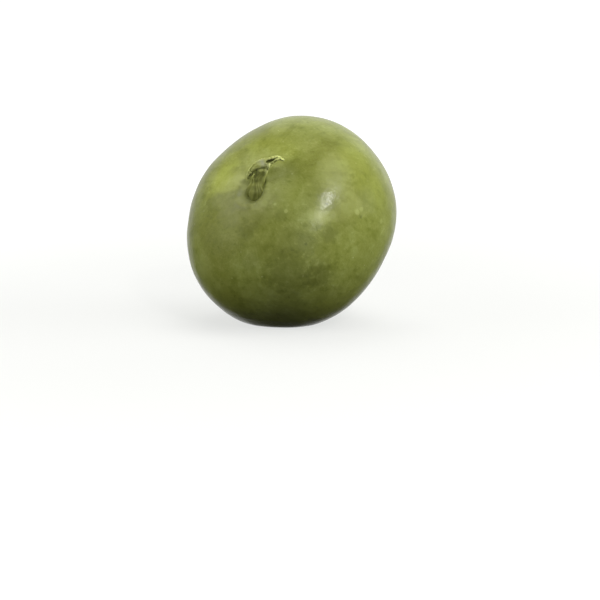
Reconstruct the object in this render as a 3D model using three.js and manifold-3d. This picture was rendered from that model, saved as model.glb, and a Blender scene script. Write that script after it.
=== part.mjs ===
// A round gourd as picked: one fruit, wider than it is tall, with its short stem and the stub of vine
// that broke off with it. It lies on its side, stem raised to the front left, on a small flat spot.
// Millimetres, +Z up, front towards -Y. The origin is on the flat spot, straight under the fruit's centre.
import * as THREE from "three";
import { mergeVertices } from "three/addons/utils/BufferGeometryUtils.js";
import Module from "manifold-3d";

const DEGREE = Math.PI / 180;

// The fruit, about its core, which runs from the blossom end (-Z) to the stem end (+Z).
const RADIUS = 70; // mean radius at the widest
const HALF_HEIGHT = 0.79 * RADIUS; // from the centre to either end, before the ends sink in
const SQUARENESS = 2.35; // exponent of the outline's superellipse; 2 is an ellipse
const OVAL = 0.042; // how far the cross-section is from round, as a share of the radius
const OVAL_AT = 66 * DEGREE; // azimuth of its long axis
const LOBES = 5;
const LOBE_HEIGHT = 0.006; // share of the radius, at the widest
const LOBE_GROWTH = 1.6; // how much stronger the lobes are near the ends
const LOBE_AT = 21 * DEGREE; // azimuth of one lobe's crest
const STEM_DIMPLE = { depth: 4.8, width: 9.5, middle: [0.3, -3.2] }; // its middle is off the core
const BLOSSOM_DIMPLE = { depth: 6.5, width: 11 };
const BLOSSOM_SCAR = { height: 1.3, radius: 4.2, width: 1.7 }; // the corky ring inside the dimple
const CUSHION = { height: 0.35, radius: 24, width: 13 }; // the lobes' swell round both dimples
const CUSHION_AT = 50 * DEGREE; // azimuth of one crest of it at the stem end
const PUCKER = { folds: 10, height: 0.12, radius: 13, width: 4.5 }; // small folds round the stem
const LIP = { height: 1, radius: 11, width: 2.4 }; // the skin's raised edge round the stem
const LIP_CREST = { at: -40 * DEGREE, share: 0.6 }; // where the edge is highest, and by how much
const UNEVEN = { height: 0.16, pitch: 34 }; // broad shallow dents

// How it lies: the core leans back from upright, then turns to the front left.
const LEAN = 57 * DEGREE;
const HEADING = -32.3 * DEGREE;
const CENTRE_HEIGHT = 65.4; // of the fruit's centre above the surface it lies on
const SETTLE = 0.7; // softness of the change from the round side to the flat spot
const SETTLE_DROP = 0.15; // how far the softened skin is still cut by the surface
const SETTLE_REACH = 12 * SETTLE; // height above which the skin stays as it is

// The stem. It bends in a plane through the core, at this azimuth.
const STEM_AT = 45 * DEGREE;
const STEM_SINK = 5; // how deep its plug sits in the flesh
const FOOT_ASIDE = -3; // how far the foot stands aside of that plane
const STALK_RADIUS = 4.6;
const STALK_RIBS = 5;
const STALK_RIB_HEIGHT = 0.08; // share of the radius
const FLARE = { radius: 2.6, length: 3.2, ribs: 0.15 }; // widening at the foot
const SWELL = { radius: 0.3, length: 0.25 }; // widening under the vine, as a share of the stalk
const PLUG_ROUNDING = 4; // length over which the plug narrows to its end
const DOME = 2.4; // length over which the stalk closes under the vine
const GAP = 0.3; // clearance between the stem's plug and the flesh

// The stub of vine across the stalk's end: solid at its node, hollow and slit open towards both tips.
const VINE_RADIUS = 1.9; // between the node and the tips
const VINE_TIP_RADIUS = 0.5;
const VINE_NODE = { radius: 1.5, at: 0.54, width: 0.16 }; // what it adds, and where along the vine
const VINE_FURROWS = 5;
const VINE_FURROW_DEPTH = 0.07; // share of the radius
const VINE_WALL = 0.75;
const HOLLOW = { least: 0.3, rounding: 0.2 }; // smallest radius, and the share of it that is the blind end
// The slits run between two shares of the vine's length. Each has a side of the stem's plane that it
// opens towards, and a half width at its root, middle and tip.
const LEFT_SLIT = { from: 0.27, to: 0.02, side: [0.62, 0.47, -0.63], width: [1.05, 1.05, 0.7] };
const RIGHT_SLIT = { from: 0.61, to: 0.85, side: [0.13, 0.75, -0.64], width: [0.8, 0.9, 0.5] };
const SLIT_SINK = 0.85; // how far out its middle is, as a share of the vine's radius
// A strip of rind runs from the right slit down over the stalk's shoulder, and tapers.
const STRIP_RADIUS = 1.1;
const STRIP_TIP_RADIUS = 0.5;
const STRIP_ROUNDING = 0.2; // share of its length over which either end is rounded

const FRUIT_MESH = { around: 80, rings: 50, drawn: 0.3 };
const STALK_MESH = { around: 30, rings: 28 };
const VINE_MESH = { around: 20, rings: 28 };
const HOLLOW_MESH = { around: 16, rings: 14 };
const STRIP_MESH = { around: 12, rings: 14 };
const CUTTER_KNOTS = 9;
const SAME_PLACE = 1e-4; // vertices closer than this are one

const wasm = await Module();
wasm.setup();

function bell(distance, width) {
  return Math.exp(-((distance / width) ** 2));
}

// Broad dents and swells, from three waves that don't repeat over the fruit.
function unevenness(x, y, z) {
  const turn = (2 * Math.PI) / UNEVEN.pitch;
  const along = Math.sin(turn * (0.62 * x + 0.31 * y) + 1.1);
  const across = Math.sin(turn * (0.47 * y - 0.36 * z) + 2.3);
  const down = Math.sin(turn * (0.53 * z + 0.22 * x) + 0.4);
  return UNEVEN.height * (along * across + 0.6 * down * along + 0.4 * across);
}

// How far the skin stands above the plain superellipse near an end, along the core.
function endRelief(round, wave, azimuth, isStemEnd) {
  const swell = isStemEnd ? Math.cos(LOBES * (azimuth - CUSHION_AT)) : wave;
  const cushion = CUSHION.height * swell * bell(round - CUSHION.radius, CUSHION.width);
  if (isStemEnd) {
    const fold = Math.cos(PUCKER.folds * (azimuth - LOBE_AT));
    const pucker = PUCKER.height * fold * bell(round - PUCKER.radius, PUCKER.width);
    const crest = 1 + LIP_CREST.share * Math.cos(azimuth - LIP_CREST.at);
    const [x, y] = STEM_DIMPLE.middle;
    const fromStem = Math.hypot(round * Math.cos(azimuth) - x, round * Math.sin(azimuth) - y);
    const lip = LIP.height * crest * bell(fromStem - LIP.radius, LIP.width);
    return cushion + pucker + lip - STEM_DIMPLE.depth * bell(fromStem, STEM_DIMPLE.width);
  }
  const scar = BLOSSOM_SCAR.height * bell(round - BLOSSOM_SCAR.radius, BLOSSOM_SCAR.width);
  return cushion + scar - BLOSSOM_DIMPLE.depth * bell(round, BLOSSOM_DIMPLE.width);
}

// A point of the skin; polar is 0 at the stem end and PI at the blossom end.
function skin(polar, azimuth) {
  const power = 2 / SQUARENESS;
  const round = RADIUS * Math.abs(Math.sin(polar)) ** power;
  const level = Math.sign(Math.cos(polar)) * Math.abs(Math.cos(polar)) ** power;
  const wave = Math.cos(LOBES * (azimuth - LOBE_AT));
  const oval = OVAL * Math.cos(2 * (azimuth - OVAL_AT));
  const radius = round * (1 + oval + LOBE_HEIGHT * (1 + LOBE_GROWTH * level * level) * wave);
  const relief = endRelief(round, wave, azimuth, level > 0);
  const point = new THREE.Vector3(
    radius * Math.cos(azimuth),
    radius * Math.sin(azimuth),
    HALF_HEIGHT * level + Math.sign(level) * relief,
  );
  const awayFromEnds = 1 - bell(round, STEM_DIMPLE.width);
  const dent = awayFromEnds * unevenness(point.x, point.y, point.z);
  return point.addScaledVector(point.clone().normalize(), dent);
}

// Flattens the side that it lies on, softly, by moving the point up in the fruit's own frame.
const up = new THREE.Vector3(0, Math.sin(LEAN), Math.cos(LEAN));
function settle(point) {
  const height = CENTRE_HEIGHT + point.dot(up);
  if (height > SETTLE_REACH) return point;
  const soft = SETTLE * Math.log1p(Math.exp(height / SETTLE)) - SETTLE_DROP;
  return point.addScaledVector(up, soft - height);
}

// Moves every vertex of a geometry by a rule, and keeps only its merged positions.
function reshape(geometry, rule) {
  const position = geometry.attributes.position;
  const vertex = new THREE.Vector3();
  for (let i = 0; i < position.count; i++) {
    vertex.fromBufferAttribute(position, i);
    const moved = rule(vertex);
    position.setXYZ(i, moved.x, moved.y, moved.z);
  }
  geometry.deleteAttribute("normal");
  geometry.deleteAttribute("uv");
  return mergeVertices(geometry, SAME_PLACE);
}

function toSolid(geometry) {
  return new wasm.Manifold(
    new wasm.Mesh({
      numProp: 3,
      vertProperties: new Float32Array(geometry.attributes.position.array),
      triVerts: new Uint32Array(geometry.index.array),
    }),
  );
}

function toGeometry(solid) {
  const mesh = solid.getMesh();
  const geometry = new THREE.BufferGeometry();
  geometry.setAttribute("position", new THREE.BufferAttribute(mesh.vertProperties, 3));
  geometry.setIndex(new THREE.BufferAttribute(mesh.triVerts, 1));
  geometry.computeVertexNormals();
  return geometry;
}

// The whole skin, closed, with its rings drawn together towards the ends.
function fruitGeometry() {
  const ball = new THREE.SphereGeometry(1, FRUIT_MESH.around, FRUIT_MESH.rings);
  return reshape(ball.rotateX(Math.PI / 2), (v) => {
    const even = Math.acos(THREE.MathUtils.clamp(v.z, -1, 1));
    const polar = even - FRUIT_MESH.drawn * Math.sin(2 * even);
    return settle(skin(polar, Math.atan2(v.y, v.x)));
  });
}

// A closed tube along a curve. widthAt(along, angle) is its radius there, and shiftAt(along) moves
// its middle off the curve.
function taperedTube(curve, mesh, widthAt, shiftAt = () => new THREE.Vector3()) {
  const frames = curve.computeFrenetFrames(mesh.rings);
  const tube = new THREE.CylinderGeometry(1, 1, 1, mesh.around, mesh.rings);
  return reshape(tube, (v) => {
    const ring = Math.round((0.5 - v.y) * mesh.rings);
    const along = ring / mesh.rings;
    const angle = Math.atan2(v.z, v.x);
    const width = Math.hypot(v.x, v.z) * widthAt(along, angle);
    return curve
      .getPointAt(along)
      .add(shiftAt(along))
      .addScaledVector(frames.normals[ring], width * Math.cos(angle))
      .addScaledVector(frames.binormals[ring], width * Math.sin(angle));
  });
}

// A direction of the stem's plane: out from the core, up along it, and aside from the plane.
function stemDirection(out, along, aside) {
  return new THREE.Vector3(
    out * Math.cos(STEM_AT) - aside * Math.sin(STEM_AT),
    out * Math.sin(STEM_AT) + aside * Math.cos(STEM_AT),
    along,
  );
}

// A point of that plane, measured from the floor of the dimple.
const dimpleFloor = new THREE.Vector3(0, 0, HALF_HEIGHT - STEM_DIMPLE.depth);
function stemPoint(out, along, aside = 0) {
  return stemDirection(out, along, aside).add(dimpleFloor);
}

const stalkCurve = new THREE.CatmullRomCurve3([
  stemPoint(0, -STEM_SINK, FOOT_ASIDE),
  stemPoint(0.4, 0, FOOT_ASIDE),
  stemPoint(4.6, 4.2, -0.45),
  stemPoint(9.4, 9.6, 0.6),
  stemPoint(15.2, 16.6, -1.2),
]);
const vineCurve = new THREE.CatmullRomCurve3([
  stemPoint(0, 11.2, -0.1),
  stemPoint(3.9, 15, -0.4),
  stemPoint(8, 17.7, -0.7),
  stemPoint(11.9, 18, -1),
  stemPoint(15, 16.7, -1.3),
  stemPoint(18.3, 15.9, -1.8),
  stemPoint(21.3, 15.3, -2.3),
  stemPoint(24.1, 15.1, -2.9),
  stemPoint(26, 13.9, -3.6),
  stemPoint(26.8, 11.1, -4.6),
]);
const stripCurve = new THREE.CatmullRomCurve3([
  stemPoint(19.7, 16.1, -2.4),
  stemPoint(18, 16.4, -4.2),
  stemPoint(15.8, 14.6, -5),
  stemPoint(13.4, 12, -4.3),
]);

// Rounds off the end of a tube: nearly 0 at the end, 1 from the reach on.
function rounding(distance, reach) {
  const left = 1 - THREE.MathUtils.clamp(distance / reach, 0, 1);
  return Math.sqrt(Math.max(1 - left * left, 0.01));
}

// The stalk's radius before its ends are rounded: a ribbed flare at the skin, a swelling under the vine.
function fullStalkWidth(along, angle) {
  const aboveSkin = along * stalkCurve.getLength() - STEM_SINK;
  const wave = Math.cos(STALK_RIBS * angle);
  const flare = FLARE.radius * bell(aboveSkin, FLARE.length) * (1 + FLARE.ribs * wave);
  const swell = SWELL.radius * bell(1 - along, SWELL.length);
  return STALK_RADIUS * (1 + STALK_RIB_HEIGHT * wave) + flare + swell;
}

function stalkWidth(along, angle) {
  const fromPlug = along * stalkCurve.getLength();
  const fromDome = (1 - along) * stalkCurve.getLength();
  return fullStalkWidth(along, angle) * rounding(fromPlug, PLUG_ROUNDING) * rounding(fromDome, DOME);
}

// The vine's radius without its furrows, thickest at the node.
function vineRadius(along) {
  const fromMiddle = Math.abs(2 * along - 1);
  const tapered = THREE.MathUtils.lerp(VINE_RADIUS, VINE_TIP_RADIUS, fromMiddle ** 3);
  return tapered + VINE_NODE.radius * bell(along - VINE_NODE.at, VINE_NODE.width);
}

function vineWidth(along, angle) {
  return vineRadius(along) * (1 + VINE_FURROW_DEPTH * Math.cos(VINE_FURROWS * angle));
}

function stripWidth(along) {
  const full = THREE.MathUtils.lerp(STRIP_RADIUS, STRIP_TIP_RADIUS, along);
  return full * rounding(along, STRIP_ROUNDING) * rounding(1 - along, STRIP_ROUNDING);
}

// A cutter along the vine from one share of its length to another, round in section.
// radiusAt(share) and shiftAt(share) take how far along the cutter they are, 0 to 1.
function vineCutter(from, to, radiusAt, shiftAt) {
  const knots = Array.from({ length: CUTTER_KNOTS }, (_, i) => {
    return vineCurve.getPointAt(THREE.MathUtils.lerp(from, to, i / (CUTTER_KNOTS - 1)));
  });
  return toSolid(taperedTube(new THREE.CatmullRomCurve3(knots), HOLLOW_MESH, radiusAt, shiftAt));
}

// What is missing from the vine along a slit: the hollow inside, and the slit through the wall.
function vineOpening({ from, to, side, width }) {
  const [root, middle, tip] = width;
  const towards = stemDirection(...side).multiplyScalar(SLIT_SINK);
  const radiusThere = (share) => vineRadius(THREE.MathUtils.lerp(from, to, share));
  const hollow = (share) => {
    return Math.max(radiusThere(share) - VINE_WALL, HOLLOW.least) * rounding(share, HOLLOW.rounding);
  };
  const slit = (share) => {
    if (share < 0.5) return THREE.MathUtils.lerp(root, middle, 2 * share);
    return THREE.MathUtils.lerp(middle, tip, 2 * share - 1);
  };
  const toSlit = (share) => towards.clone().multiplyScalar(radiusThere(share));
  return vineCutter(from, to, hollow).add(vineCutter(from, to, slit, toSlit));
}

const vine = toSolid(taperedTube(vineCurve, VINE_MESH, vineWidth));
const stalk = toSolid(taperedTube(stalkCurve, STALK_MESH, stalkWidth));
const strip = toSolid(taperedTube(stripCurve, STRIP_MESH, stripWidth));
const socket = toSolid(
  taperedTube(stalkCurve, STALK_MESH, (along, angle) => fullStalkWidth(along, angle) + GAP),
);
const socketFloor = new THREE.CylinderGeometry(STALK_RADIUS, STALK_RADIUS, 2 * GAP, STALK_MESH.around);
const plugEnd = stemPoint(0, -STEM_SINK, FOOT_ASIDE);
socketFloor.rotateX(Math.PI / 2).translate(plugEnd.x, plugEnd.y, plugEnd.z);

// What lies under the surface that the fruit rests on, in the fruit's own frame.
const lieFlat = new THREE.Quaternion().setFromEuler(new THREE.Euler(LEAN, 0, HEADING, "ZYX"));
const ground = new THREE.BoxGeometry(4 * RADIUS, 4 * RADIUS, RADIUS);
ground.translate(0, 0, -RADIUS / 2 - CENTRE_HEIGHT);
ground.applyQuaternion(lieFlat.clone().invert());

const unmoved = (v) => v;
const fruitSolid = toSolid(fruitGeometry())
  .subtract(socket)
  .subtract(toSolid(reshape(socketFloor, unmoved)))
  .subtract(toSolid(reshape(ground, unmoved)));
const stemSolid = stalk
  .add(vine)
  .add(strip)
  .subtract(vineOpening(LEFT_SLIT))
  .subtract(vineOpening(RIGHT_SLIT));

const skinMaterial = new THREE.MeshStandardMaterial({
  color: new THREE.Color(0x848c48),
  roughness: 0.42,
  metalness: 0,
});
const stemMaterial = new THREE.MeshStandardMaterial({
  color: new THREE.Color(0x949a55),
  roughness: 0.8,
  metalness: 0,
});

const fruit = new THREE.Mesh(toGeometry(fruitSolid), skinMaterial);
fruit.name = "fruit";
const stem = new THREE.Mesh(toGeometry(stemSolid), stemMaterial);
stem.name = "stem";

const lying = new THREE.Group();
lying.add(fruit, stem);
lying.quaternion.copy(lieFlat);
lying.position.set(0, 0, CENTRE_HEIGHT);

const gourd = new THREE.Group();
gourd.name = "round_gourd";
gourd.add(lying);

export default gourd;
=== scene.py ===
"""A round gourd lying on its side, with its short stem and a stub of vine, on a plain pale floor.

The named lengths are millimetres, but those of the light and the stage are metres. Places on the fruit
are in its own frame: it starts in the middle of the core, and its z runs along the core to the stem.
"""

import math

import bmesh
import bpy
import numpy as np
from mathutils import Matrix, Quaternion, Vector


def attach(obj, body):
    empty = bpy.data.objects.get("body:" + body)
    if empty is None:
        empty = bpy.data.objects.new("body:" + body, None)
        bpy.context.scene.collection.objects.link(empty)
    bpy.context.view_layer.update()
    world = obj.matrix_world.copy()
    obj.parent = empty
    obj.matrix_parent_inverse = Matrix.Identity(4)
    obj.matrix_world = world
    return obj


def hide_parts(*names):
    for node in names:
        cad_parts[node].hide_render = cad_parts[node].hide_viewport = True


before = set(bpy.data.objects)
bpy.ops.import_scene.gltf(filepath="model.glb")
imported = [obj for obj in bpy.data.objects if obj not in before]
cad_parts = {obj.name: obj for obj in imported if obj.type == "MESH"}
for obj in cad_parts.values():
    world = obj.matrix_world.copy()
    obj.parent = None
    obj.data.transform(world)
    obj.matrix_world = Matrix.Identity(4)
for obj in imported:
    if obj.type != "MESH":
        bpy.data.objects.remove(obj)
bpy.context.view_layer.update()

MM = 0.001
NEAR_ZERO = 1e-6

# The fruit about its core, which runs from the blossom end (-z) to the stem end (+z).
RADIUS = 70
HALF_HEIGHT = 0.79 * RADIUS
SQUARENESS = 2.35
OVAL = 0.042
OVAL_AT = math.radians(66)
LOBES = 5
LOBE_HEIGHT = 0.006
LOBE_GROWTH = 1.6
LOBE_AT = math.radians(21)
STEM_DIMPLE = {"depth": 4.8, "width": 9.5, "middle": (0.3, -3.2)}
BLOSSOM_DIMPLE = {"depth": 6.5, "width": 11}
BLOSSOM_SCAR = {"height": 1.3, "radius": 4.2, "width": 1.7}
CUSHION = {"height": 0.35, "radius": 24, "width": 13}
CUSHION_AT = math.radians(50)
PUCKER = {"folds": 10, "height": 0.12, "radius": 13, "width": 4.5}
LIP = {"height": 1.0, "radius": 11, "width": 2.4, "lean": 0.6, "at": math.radians(-40)}
UNEVEN = {"height": 0.16, "pitch": 34}
# Its three waves, along, across and down: heading and start. Two of them also count on their own.
UNEVEN_WAVES = (
    ((0.62, 0.31, 0), 1.1),
    ((0, 0.47, -0.36), 2.3),
    ((0.22, 0, 0.53), 0.4),
)
UNEVEN_SHARES = {"down": 0.6, "across": 0.4}

# How it lies.
LEAN = math.radians(57)
HEADING = math.radians(-32.3)
CENTRE_HEIGHT = 65.4
SETTLE = 0.7
SETTLE_DROP = 0.15
# Skin above this height stays as it is.
SETTLE_REACH = 12 * SETTLE
LARGEST_EXPONENT = 50

# The stem.
STEM_AT = math.radians(45)
STEM_SINK = 5
FOOT_ASIDE = -3
STALK_RADIUS = 4.6
STALK_RIBS = 5
STALK_RIB_HEIGHT = 0.08
FLARE = {"radius": 2.6, "length": 3.2, "ribs": 0.15}
SWELL = {"radius": 0.3, "length": 0.25}
PLUG_ROUNDING = 4
DOME = 2.4
VINE_RADIUS = 1.9
VINE_TIP_RADIUS = 0.5
VINE_NODE = {"radius": 1.5, "at": 0.54, "width": 0.16}
VINE_FURROWS = 5
VINE_FURROW_DEPTH = 0.07
VINE_WALL = 0.75
HOLLOW = {"least": 0.3, "rounding": 0.2}
# A slit runs between two shares of the vine's length. Its width is for its start, middle and end.
LEFT_SLIT = {"from": 0.27, "to": 0.02, "side": (0.62, 0.47, -0.63), "width": (1.05, 1.05, 0.7)}
RIGHT_SLIT = {"from": 0.61, "to": 0.85, "side": (0.13, 0.75, -0.64), "width": (0.8, 0.9, 0.5)}
SLIT_SINK = 0.85
# How the slits' edges wander: coarse and fine waves along them, and how high they are.
SLIT_RAGGED = {"coarse": 17, "coarse_height": 0.1, "fine": 31, "fine_height": 0.06}
SLIT_POINTS = 9
STRIP_RADIUS = 1.1
STRIP_TIP_RADIUS = 0.5
STRIP_ROUNDING = 0.2
# A tube's end is never drawn in further than to this share of its radius.
LEAST_END = 0.1

# The skin is paler in a sector of the stem end between two meridians: partly its own paler tone, and
# partly painted light where the lobe there faces the lamps. It fades between two distances from the
# core, and a noise shakes its edges. The first is twice as soft.
PALE_SECTOR = {"from": math.radians(46), "to": math.radians(199), "soft": 4, "full": 26, "gone": 50}
PALE_STRENGTH = 0.52
PALE_SHAKE = 12
# Where the edge at a meridian starts and ends, as shares of its softness.
MERIDIAN_EDGE = (-0.3, 0.7)
# The sector's palest place, the flank where most of its painted light lies, and how pale the rest is
# beside that.
PALE_FLANK = {"at": (-24, 4, 53), "radius": 15, "rest": 0.48}
# Darker marks: place, radius and strength. Most are the skin's own blotches and specks; the two
# noted below are painted shade.
DARK_MARKS_AND_SHADE = (
    ((5.5, -29.6, 51.4), 7, 0.35),
    ((25.9, -17.5, 51.2), 5, 0.25),
    ((43, -30.5, 39), 8, 0.25),
    ((53.4, -19.5, 33.4), 6, 0.3),
    ((42.5, -30.4, 39.4), 1.3, 0.6),
    ((64.4, -1.0, 21.8), 1.2, 0.5),
    ((49.6, -2.6, 41.4), 1, 0.5),
    ((-28, -14, 51), 8, 0.25),
    ((65.6, 12.2, 19.3), 10, 0.2),
    ((48.1, -43.1, 21.8), 11, 0.35),
    ((-14.5, 22, 53), 6, 0.2),
    ((9.1, -48, 43.7), 7, 0.2),
    ((33.5, -49.7, 32.8), 17, 0.3),
    # The next two are painted shade in the dimple beside the stem's foot.
    ((1, -10.5, 51.5), 3.5, 0.2),
    ((6.5, -8.5, 51.5), 3.5, 0.3),
    ((-14, 10.8, 53.5), 5, 0.2),
)
# Paler marks: place, radius and strength. Most are the skin's own pale patches, scars and flecks;
# those noted below are painted light, and one is a painted sheen.
PALE_MARKS_AND_LIGHT = (
    ((44.5, -12, 43.6), 4.6, 0.4),
    ((47.5, -11, 41.6), 3.4, 0.3),
    ((49.3, -12, 39.8), 4.2, 0.5),
    ((53, -9.3, 37.3), 4, 0.3),
    # Painted light over the stem's cast shadow, left of the stem.
    ((-11.4, 4.2, 52.5), 5.5, 0.75),
    # A painted sheen above the highlight.
    ((48.4, 19.6, 41.8), 14, 0.28),
    ((0, 46.5, 46.1), 7, 0.3),
    ((-26, -11.2, 52.5), 6, 0.18),
    ((-27.4, -51.3, 38.6), 8, 0.22),
    # The next two are painted light on the shaded inner wall of the dimple, left of the stem.
    ((-7.3, -0.1, 53.1), 3.2, 0.5),
    ((-9.7, 2, 54.3), 3.2, 0.45),
    ((20.3, -11.1, 53.5), 1.3, 0.6),
    ((28.4, -14.2, 51.1), 1.4, 0.5),
    ((54.8, 9.4, 37.6), 9, 0.25),
    ((60.6, 3.0, 30.2), 8, 0.25),
    ((57.5, -4, 34), 8, 0.25),
    ((62.9, 0.5, 25.7), 2.2, 0.5),
    ((64.0, 3.6, 23.9), 1.6, 0.35),
    ((68.1, 6, 3.2), 2, 0.4),
    # The last six are paler skin and painted light on the crests of the lip folds round the stem's foot.
    ((9.6, -0.9, 51.5), 1.5, 0.35),
    ((12.1, -2.5, 52.9), 2.4, 0.45),
    ((13.5, -6.5, 53.8), 3.2, 0.42),
    ((12.2, -11.2, 53.8), 3.2, 0.45),
    ((9.3, -13.2, 53.8), 3, 0.4),
    ((6.2, -13.8, 53.6), 3, 0.42),
)
# Yellower marks: place, radius and strength.
YELLOW_MARKS = (
    ((53, 32.3, 32), 13, 0.17),
    ((65.5, 21.5, 12), 12, 0.17),
    ((60.3, 20, 28.5), 7, 0.16),
    ((-25, 7, 52.7), 7, 0.2),
)
# A greyish painted sheen beside the stem, partly a waxy bloom: place, radius and strength.
HAZE = (
    ((-14, -8, 52.5), 13, 0.13),
    ((-9, -20, 52), 12, 0.14),
)
# How far the noise moves a mark's edge, and where the edge starts and ends, as shares of the radius.
MARK_EDGE = {"ragged": 1.6, "outer": 1.25, "inner": 0.45}
# The skin's noises. Sizes are those of their blotches.
SKIN_NOISE = {
    "broad": {"size": 48, "detail": 1.5},
    "cloud": {"size": 13, "detail": 3, "roughness": 0.6, "distortion": 0.3},
    "small": {"size": 4.2, "detail": 3, "roughness": 0.6},
    "speckle": {"size": 1.5, "detail": 2.5, "roughness": 0.6},
}
# Where the broad noise turns the skin from olive to leaf green.
BROAD_EDGE = (0.36, 0.64)
# Streaks from the stem to the blossom end: a noise that is drawn out along the core, and that sets in
# between two distances from it.
STREAKS = {"size": 3.4, "detail": 2.5, "fine": 70, "stretch": 5, "from": 20, "to": 40}
STREAK_EDGE = (0.5, 0.75)
STREAK_STRENGTH = 0.25
NEAREST_CORE = 2
# The mottling: a noise, the value where it sets in, the value where it is full, and its strength.
MOTTLE_DARK = (
    ("cloud", 0.46, 0.3, 0.5),
    ("small", 0.46, 0.26, 0.5),
    ("speckle", 0.46, 0.24, 0.34),
)
MOTTLE_PALE = (
    ("cloud", 0.5, 0.66, 0.34),
    ("small", 0.52, 0.72, 0.4),
    ("speckle", 0.52, 0.76, 0.3),
)
# What the mottling multiplies the skin's colour by.
DARKER = (0.6, 0.61, 0.3, 1)
PALER = (1.42, 1.4, 2.0, 1)
# Round dots, in a share of the cells of a spacing.
PALE_DOTS = {"spacing": 7.5, "radius": 0.55, "share": 0.42}
DARK_DOTS = {"spacing": 12, "radius": 0.5, "share": 0.3}
DOT_STRENGTH = {"pale": 0.5, "dark": 0.7}
# Where a dot's edge starts and ends, as shares of its radius, and how strong the faintest dot is.
DOT_EDGE = (0.6, 1.3)
FAINTEST_DOT = 0.4
# The painted sheen round the stem, partly a waxy bloom: full within a distance from the core, gone
# past another. The small noise thins it: a range of the noise, and the shares of it at both ends.
BLOOM_AND_SHEEN = {"full": 16, "gone": 34, "strength": 0.3}
BLOOM_AND_SHEEN_THINNED = (0.2, 0.7, 0.5, 1)
# Colours in 0 to 255 steps of the screen.
SKIN_COLOURS = {
    "olive": (120, 126, 50),
    "leaf": (135, 143, 67),
    "pale_and_lit_sector": (184, 193, 88),
    "dark_mark_and_shade": (86, 91, 40),
    "pale_mark_and_light": (176, 183, 108),
    "yellow_mark": (178, 188, 90),
    "pale_dot": (180, 184, 128),
    "dark_dot": (70, 74, 30),
    "bloom_and_sheen": (158, 160, 120),
}
SKIN_GLOSS = {"IOR": 1.4, "Coat Weight": 0.75, "Coat Roughness": 0.21, "Coat IOR": 1.45}
# A range of the small noise, and the roughness at both ends.
SKIN_ROUGHNESS = (0.3, 0.7, 0.44, 0.54)
SKIN_BUMPS = {"small": 0.1, "speckle": 0.1, "pale_dots": 0.04}
# The stem's grooves and ribs, and where the fibres turn one to the other.
STEM_BASE = {"groove": (138, 144, 68), "rib": (168, 174, 96), "edge": (0.15, 0.85)}
STEM_NOISE = {
    "grain": {"size": 1.3, "detail": 4, "roughness": 0.65},
    "blotch": {"size": 4, "detail": 2.5},
}
# Layers of colour over that: a colour, the attribute that says where it is, and its strength. That is a
# number, or it follows a noise or attribute: a range of that, and the strengths at both ends.
STEM_LAYERS = (
    ((172, 178, 104), None, ("blotch", 0.42, 0.62, 0, 0.4)),
    ((184, 188, 116), None, ("grain", 0.5, 0.8, 0, 0.4)),
    ((104, 109, 50), None, ("grain", 0.45, 0.2, 0, 0.4)),
    # Painted shade at the stalk's foot.
    ((106, 110, 50), "foot", ("fibre", 0.2, 0.8, 0.95, 0.62)),
    # Painted light on the stalk's neck under the vine.
    ((190, 196, 112), "painted_light_neck", 0.75),
    # Painted shade on the foot and in its hollows.
    ((76, 80, 32), "shade", 0.6),
    # Painted light under the head, over its shadow.
    ((206, 212, 130), "painted_light_under_head", 0.6),
    ((196, 204, 124), "dry", ("grain", 0.25, 0.6, 0.45, 0.9)),
    ((222, 228, 156), "strip", 0.85),
    ((154, 156, 124), "pith", ("blotch", 0.35, 0.6, 0.35, 0.95)),
    # Painted light on standing edges and rims.
    ((204, 210, 132), None, ("edge", 0.57, 0.82, 0, 0.7)),
    # Painted shade in hollows and grooves.
    ((84, 88, 38), None, ("edge", 0.42, 0.2, 0, 0.4)),
    # Painted shade inside the hollow vine.
    ((72, 75, 26), "inside", 0.85),
)
STEM_IOR = 1.4
# A range of the grain, and the roughness at both ends.
STEM_ROUGHNESS = (0.2, 0.8, 0.55, 0.8)
STEM_BUMP = 0.18

# Fine forms that only the visible meshes have. A smooth noise is given by its height, and by the
# shortest and longest of the plane waves that it sums.
FRUIT_GRID = {"around": 320, "rings": 240, "drawn": 0.3}
RIPPLE = (0.07, 9, 20)
GRAIN = (0.02, 2.6, 5)
WAVE_COUNT = 40
GRAIN_COUNT = 60
# What such a sum is divided by, to keep it mostly within its height.
WAVE_HEADROOM = 1.6
# Folds that run out from the stem. Waves round the core have a height, a number, a start and a twist,
# which is in radians for each millimetre from the core.
CREASE = {"folds": 17, "height": 0.05, "radius": 14, "width": 6}
CREASE_WANDER = ((0.9, 3, 0, 0.12), (0.5, 5, 1.3, 0))
CREASE_STRENGTH = 0.55
CREASE_FADING = ((0.45, 2, 0.7, 0),)
LIP_LUMPS = ((0.17, 7, 1.9, 0), (0.17, 12, 0.6, 0))
# Rings of each of the stem's tubes, and points on a ring.
GRIDS = {"stalk": (90, 100), "vine": (90, 60), "strip": (30, 16), "hollow": (40, 28), "slit": (60, 28)}
STEM_VOXEL = 0.2
SOFTEN = {"factor": 0.5, "rounds": 5}
# The stem counts as vine, not as stalk, where the vine's middle is this much nearer.
ON_VINE = {"nearer": 2.2, "sharpness": 2.5}
# Fibres, with finer ones between them that take a share of the height. They wander by radians.
FIBRE = {"count": 11, "height": 0.09, "fine": 0.35, "fine_wander": 1.6}
FIBRE_WANDER = (3.2, 7, 16)
FIBRE_STRENGTH = 0.6
FIBRE_FADING = (0.4, 4, 9)
# How deep under the vine's rind its inside starts, which gets painted shade.
INSIDE = {"depth": 0.5, "soft": 0.4}
# The vine's tips are dry, from this share of the way out from its middle.
DRY = {"from": 0.1875, "gain": 1.6}
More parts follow.
